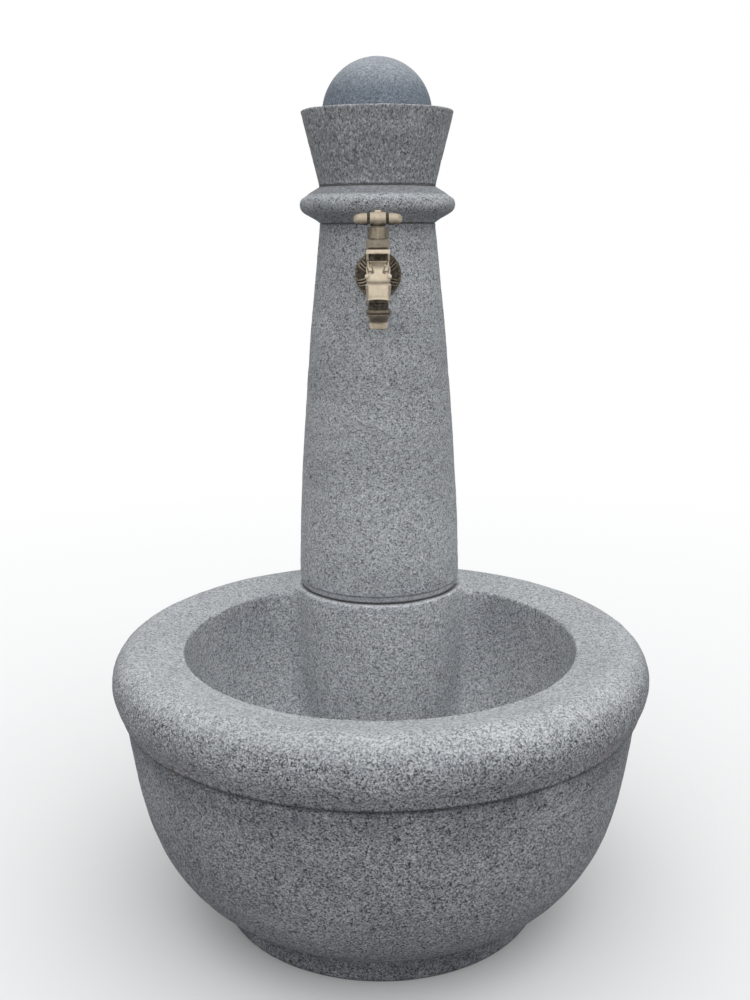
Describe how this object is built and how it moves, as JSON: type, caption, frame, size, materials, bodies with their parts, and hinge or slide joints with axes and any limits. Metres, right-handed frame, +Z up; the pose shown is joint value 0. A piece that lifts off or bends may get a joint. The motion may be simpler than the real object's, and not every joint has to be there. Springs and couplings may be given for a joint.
{
  "type": "stone garden fountain",
  "caption": "Free-standing granite garden fountain: a round basin, a tapering column with collar, capital and ball, and a brass bib tap over the bowl.",
  "frame": {"origin": "on the ground, on the basin's own axis, at the middle of the foot's underside", "axes": "+Z up, -Y to the front where the spout points, +X to the right seen from the front; the column stands at +Y"},
  "size_m": [0.6, 0.5999, 0.9626],
  "materials": {
    "bush_hammered_granite": "bush-hammered, black and white speckle",
    "smooth_granite": "honed, bluish grey",
    "mortar": "matt setting mortar",
    "dowel_steel": "drawn bar",
    "copper_pipe": "dull copper",
    "plain_brass": "turned",
    "rubber": "matt black",
    "red_fibre": "pressed red fibre",
    "packing_yarn": "waxed yarn",
    "aged_brass": "aged, satin, darker in the hollows",
    "dark_bronze": "dark bronze, rubbed bright on its edges"
  },
  "bodies": {
    "fountain": {"basin": "bush_hammered_granite", "column_shaft": "bush_hammered_granite", "collar": "bush_hammered_granite", "capital": "bush_hammered_granite", "ball_finial": "smooth_granite", "base_bed": "mortar", "collar_bed": "mortar", "capital_bed": "mortar", "ball_bed": "mortar", "base_dowels": "dowel_steel", "head_dowel": "dowel_steel", "ball_dowel": "dowel_steel", "supply_pipe": "copper_pipe", "pipe_grommet": "rubber", "inlet_union": "plain_brass", "compression_olive": "plain_brass", "compression_nut": "plain_brass", "wall_elbow": "plain_brass", "extension_washer": "red_fibre", "tap_extension": "plain_brass", "tap_rosette": "dark_bronze", "tap_body": "aged_brass", "bonnet_washer": "red_fibre", "bonnet": "aged_brass", "gland_packing": "packing_yarn", "gland_nut": "aged_brass", "hose_nozzle": "dark_bronze", "nozzle_washer": "rubber", "waste_body": "plain_brass", "waste_grate": "plain_brass", "waste_gasket": "rubber", "waste_back_washer": "rubber", "waste_locknut": "plain_brass"},
    "valve": {"jumper_valve": "plain_brass", "valve_washer": "rubber"},
    "handle": {"spindle": "plain_brass", "tap_handle": "aged_brass", "handle_screw": "aged_brass"}
  },
  "joints": [
    {"name": "valve_lift", "type": "slide", "parent": "fountain", "child": "valve", "axis": [0, 0, 1], "range_m": [0, 0.0035]},
    {"name": "handle_turn", "type": "hinge", "parent": "valve", "child": "handle", "pos_m": [0, 0.07009, 0.7763], "axis": [0, 0, 1], "range_deg": [0, 630]}
  ],
  "couplings": [
    {"joint": "handle_turn", "follows": "valve_lift", "rad_per_m": 3141.6}
  ]
}
